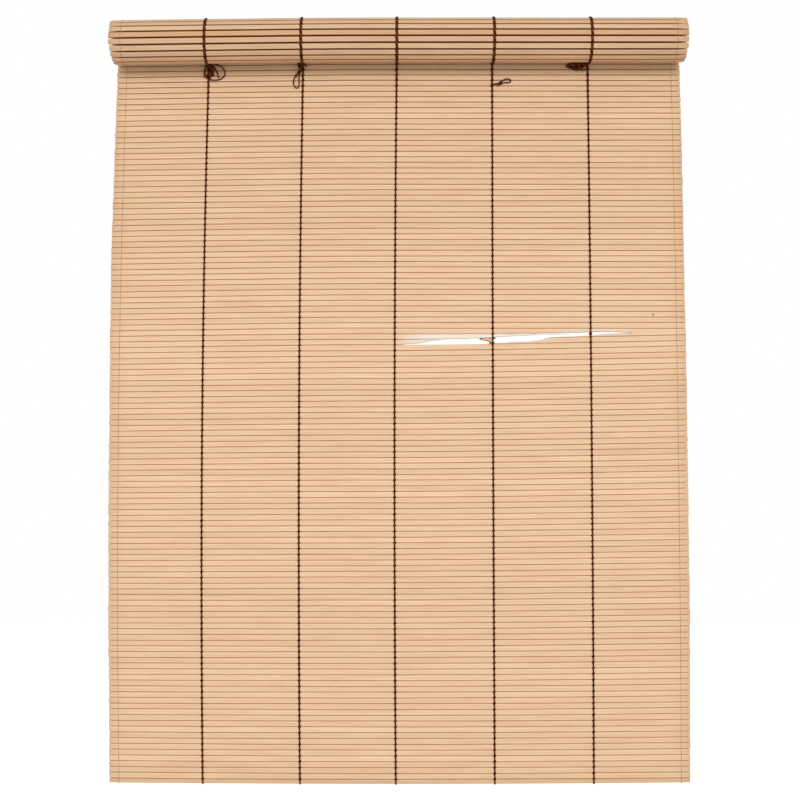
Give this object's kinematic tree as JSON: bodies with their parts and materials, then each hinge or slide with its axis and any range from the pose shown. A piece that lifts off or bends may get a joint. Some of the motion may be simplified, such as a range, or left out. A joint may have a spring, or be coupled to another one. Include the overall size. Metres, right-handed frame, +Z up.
{
  "type": "bamboo roll up blind",
  "caption": "Hanging blind of flat bamboo slats woven on dark warp yarns, part rolled up at the top, with a broken slat and loose yarn ends.",
  "frame": {"origin": "on the wall side of the sheet, level with the axis of the roll, midway along the slats", "axes": "+X along the slats, +Y to the wall, +Z up"},
  "size_m": [0.6, 0.0511, 0.7969],
  "materials": {
    "slat": "plain split bamboo, matt",
    "foot_slat": "plain split bamboo, matt, a little darker",
    "yarn": "dark brown twisted yarn",
    "thread": "thin pale thread"
  },
  "bodies": {
    "root": {"hanging_slats": "slat", "rolled_slats": "slat", "splinter": "slat", "bottom_slat": "foot_slat", "warp_yarn_1": "yarn", "warp_yarn_2": "yarn", "warp_yarn_3": "yarn", "warp_yarn_4": "yarn", "warp_yarn_5": "yarn", "yarn_knot_1": "yarn", "yarn_knot_2": "yarn", "yarn_knot_3": "yarn", "yarn_knot_4": "yarn", "yarn_tail_1": "yarn", "yarn_tail_2": "yarn", "yarn_tail_3": "yarn", "yarn_tail_4": "yarn", "left_edge_thread": "thread", "right_edge_thread": "thread"}
  },
  "joints": []
}
